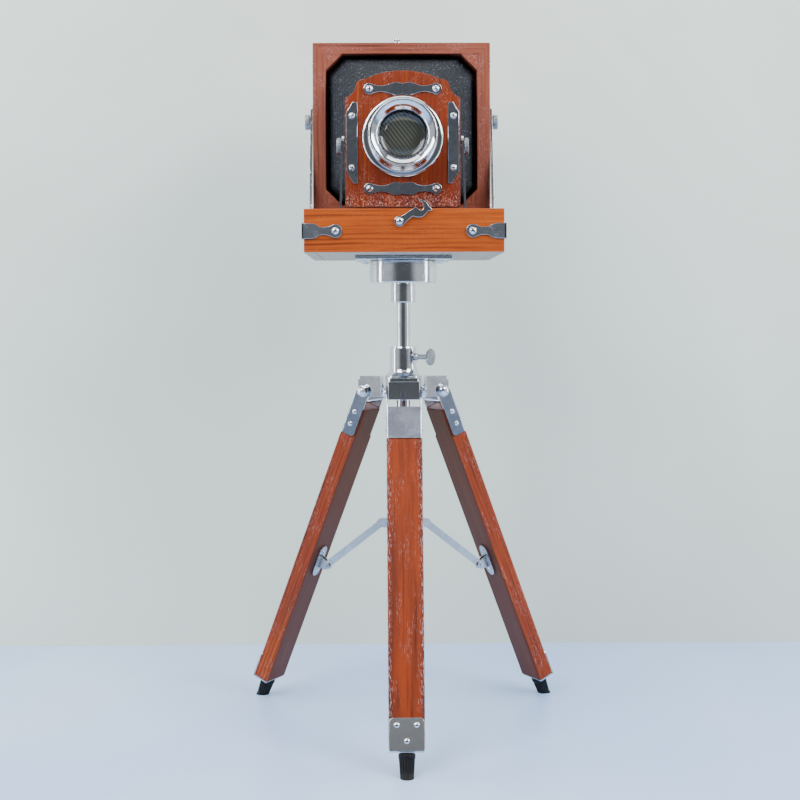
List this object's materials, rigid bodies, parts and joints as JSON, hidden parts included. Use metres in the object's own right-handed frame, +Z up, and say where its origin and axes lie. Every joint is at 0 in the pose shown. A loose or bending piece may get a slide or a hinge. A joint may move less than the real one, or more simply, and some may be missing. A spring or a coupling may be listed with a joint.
{
  "type": "film camera on tripod",
  "caption": "Wooden bellows view camera with a drop bed and nickel fittings, on a column tripod with folding wooden legs.",
  "frame": {"origin": "centre of the outer box in X and Y, on the surface that the rubber feet stand on", "axes": "+Z up along the column, the lens looks along -Y, +X to the right seen from the front"},
  "size_m": [0.2388, 0.2474, 0.5225],
  "materials": {
    "leg_wood": "satin varnish",
    "bed_wood": "gloss varnish",
    "board_wood": "gloss varnish",
    "body_wood": "satin varnish",
    "nickel": "polished nickel plate",
    "steel_plate": "plated sheet, satin",
    "rubber": "matt",
    "bellows_cloth": "grained leathercloth",
    "lens_glass": "polished",
    "ground_glass": "ground, frosted"
  },
  "bodies": {
    "crown": {"tripod_crown": "nickel"},
    "thumb_screw": {"column_thumb_screw": "nickel"},
    "spreader": {"spreader_hub": "steel_plate"},
    "column": {"column_rod": "nickel", "column_sleeve": "nickel"},
    "camera": {"pan_head": "nickel", "mount_plate": "steel_plate", "bed_floor": "bed_wood", "bed_front_board": "bed_wood", "bed_rear_board": "bed_wood", "bed_left_board": "bed_wood", "bed_right_board": "bed_wood", "corner_strap_left": "steel_plate", "corner_strap_right": "steel_plate", "focus_track": "nickel", "rear_strut_left": "nickel", "rear_strut_right": "nickel", "rear_frame": "body_wood", "rear_shell": "body_wood", "back_panel": "body_wood", "ground_glass": "ground_glass", "bed_hinge": "steel_plate", "latch_stud": "nickel", "bellows": "bellows_cloth"},
    "front_standard": {"front_fork": "nickel", "lens_board": "board_wood", "board_trim_top": "nickel", "board_trim_bottom": "nickel", "board_trim_left": "nickel", "board_trim_right": "nickel", "lens_barrel": "nickel", "lens_glass": "lens_glass"},
    "hook": {"latch_hook": "nickel"},
    "front_knob_left": {"front_knob_left": "nickel"},
    "front_knob_right": {"front_knob_right": "nickel"},
    "rear_knob_left": {"rear_knob_left": "nickel"},
    "rear_knob_right": {"rear_knob_right": "nickel"},
    "leg_front": {"leg_front": "leg_wood", "leg_strap_front": "steel_plate", "hinge_bolt_front": "nickel", "foot_plate_front": "steel_plate", "rubber_foot_front": "rubber", "brace_bracket_front": "steel_plate"},
    "link_front": {"brace_link_front": "steel_plate"},
    "leg_right": {"leg_right": "leg_wood", "leg_strap_right": "steel_plate", "hinge_bolt_right": "nickel", "foot_plate_right": "steel_plate", "rubber_foot_right": "rubber", "brace_bracket_right": "steel_plate"},
    "link_right": {"brace_link_right": "steel_plate"},
    "leg_left": {"leg_left": "leg_wood", "leg_strap_left": "steel_plate", "hinge_bolt_left": "nickel", "foot_plate_left": "steel_plate", "rubber_foot_left": "rubber", "brace_bracket_left": "steel_plate"},
    "link_left": {"brace_link_left": "steel_plate"}
  },
  "joints": [
    {"name": "leg_front_fold", "type": "hinge", "parent": "crown", "child": "leg_front", "pos_m": [0, -0.01625, 0.246], "axis": [1, 0, 0], "range_deg": [0, 20]},
    {"name": "link_front_swing", "type": "hinge", "parent": "leg_front", "child": "link_front", "pos_m": [0, -0.05728, 0.10905], "axis": [1, 0, 0], "range_deg": [0, 34]},
    {"name": "leg_right_fold", "type": "hinge", "parent": "crown", "child": "leg_right", "pos_m": [0.02382, 0.025, 0.246], "axis": [-0.5, 0.866, 0], "range_deg": [0, 20]},
    {"name": "link_right_swing", "type": "hinge", "parent": "leg_right", "child": "link_right", "pos_m": [0.05935, 0.04552, 0.10905], "axis": [-0.5, 0.866, 0], "range_deg": [0, 34]},
    {"name": "leg_left_fold", "type": "hinge", "parent": "crown", "child": "leg_left", "pos_m": [-0.02382, 0.025, 0.246], "axis": [-0.5, -0.866, 0], "range_deg": [0, 20]},
    {"name": "link_left_swing", "type": "hinge", "parent": "leg_left", "child": "link_left", "pos_m": [-0.05935, 0.04552, 0.10905], "axis": [-0.5, -0.866, 0], "range_deg": [0, 34]},
    {"name": "spreader_rise", "type": "slide", "parent": "crown", "child": "spreader", "axis": [0, 0, 1], "range_m": [0, 0.02]},
    {"name": "column_slide", "type": "slide", "parent": "crown", "child": "column", "axis": [0, 0, 1], "range_m": [-0.03, 0.02]},
    {"name": "camera_pan", "type": "hinge", "parent": "column", "child": "camera", "pos_m": [0, 0.01125, 0.346], "axis": [0, 0, 1], "continuous": true},
    {"name": "thumb_screw_turn", "type": "hinge", "parent": "crown", "child": "thumb_screw", "pos_m": [0, 0.01125, 0.2716], "axis": [0.866, -0.5, 0], "continuous": true},
    {"name": "focus_slide", "type": "slide", "parent": "camera", "child": "front_standard", "axis": [0, 1, 0], "range_m": [0, 0.036], "deforming": ["bellows"]},
    {"name": "latch_hook_swing", "type": "hinge", "parent": "camera", "child": "hook", "pos_m": [-0.0032, -0.05855, 0.3676], "axis": [0, 1, 0], "range_deg": [-62, 30]},
    {"name": "front_knob_left_turn", "type": "hinge", "parent": "front_standard", "child": "front_knob_left", "pos_m": [0, 0.01125, 0.4279], "axis": [-1, 0, 0], "continuous": true},
    {"name": "front_knob_right_turn", "type": "hinge", "parent": "front_standard", "child": "front_knob_right", "pos_m": [0, 0.01125, 0.4279], "axis": [1, 0, 0], "continuous": true},
    {"name": "rear_knob_left_turn", "type": "hinge", "parent": "camera", "child": "rear_knob_left", "pos_m": [0, 0.09285, 0.45752], "axis": [-1, 0, 0], "continuous": true},
    {"name": "rear_knob_right_turn", "type": "hinge", "parent": "camera", "child": "rear_knob_right", "pos_m": [0, 0.09285, 0.45752], "axis": [1, 0, 0], "continuous": true}
  ],
  "couplings": [
    {"joint": "link_front_swing", "follows": "leg_front_fold", "ratio": 1.6537},
    {"joint": "leg_right_fold", "follows": "leg_front_fold", "ratio": 1},
    {"joint": "link_right_swing", "follows": "leg_front_fold", "ratio": 1.6537},
    {"joint": "leg_left_fold", "follows": "leg_front_fold", "ratio": 1},
    {"joint": "link_left_swing", "follows": "leg_front_fold", "ratio": 1.6537},
    {"joint": "spreader_rise", "follows": "leg_front_fold", "m_per_rad": 0.054628}
  ]
}
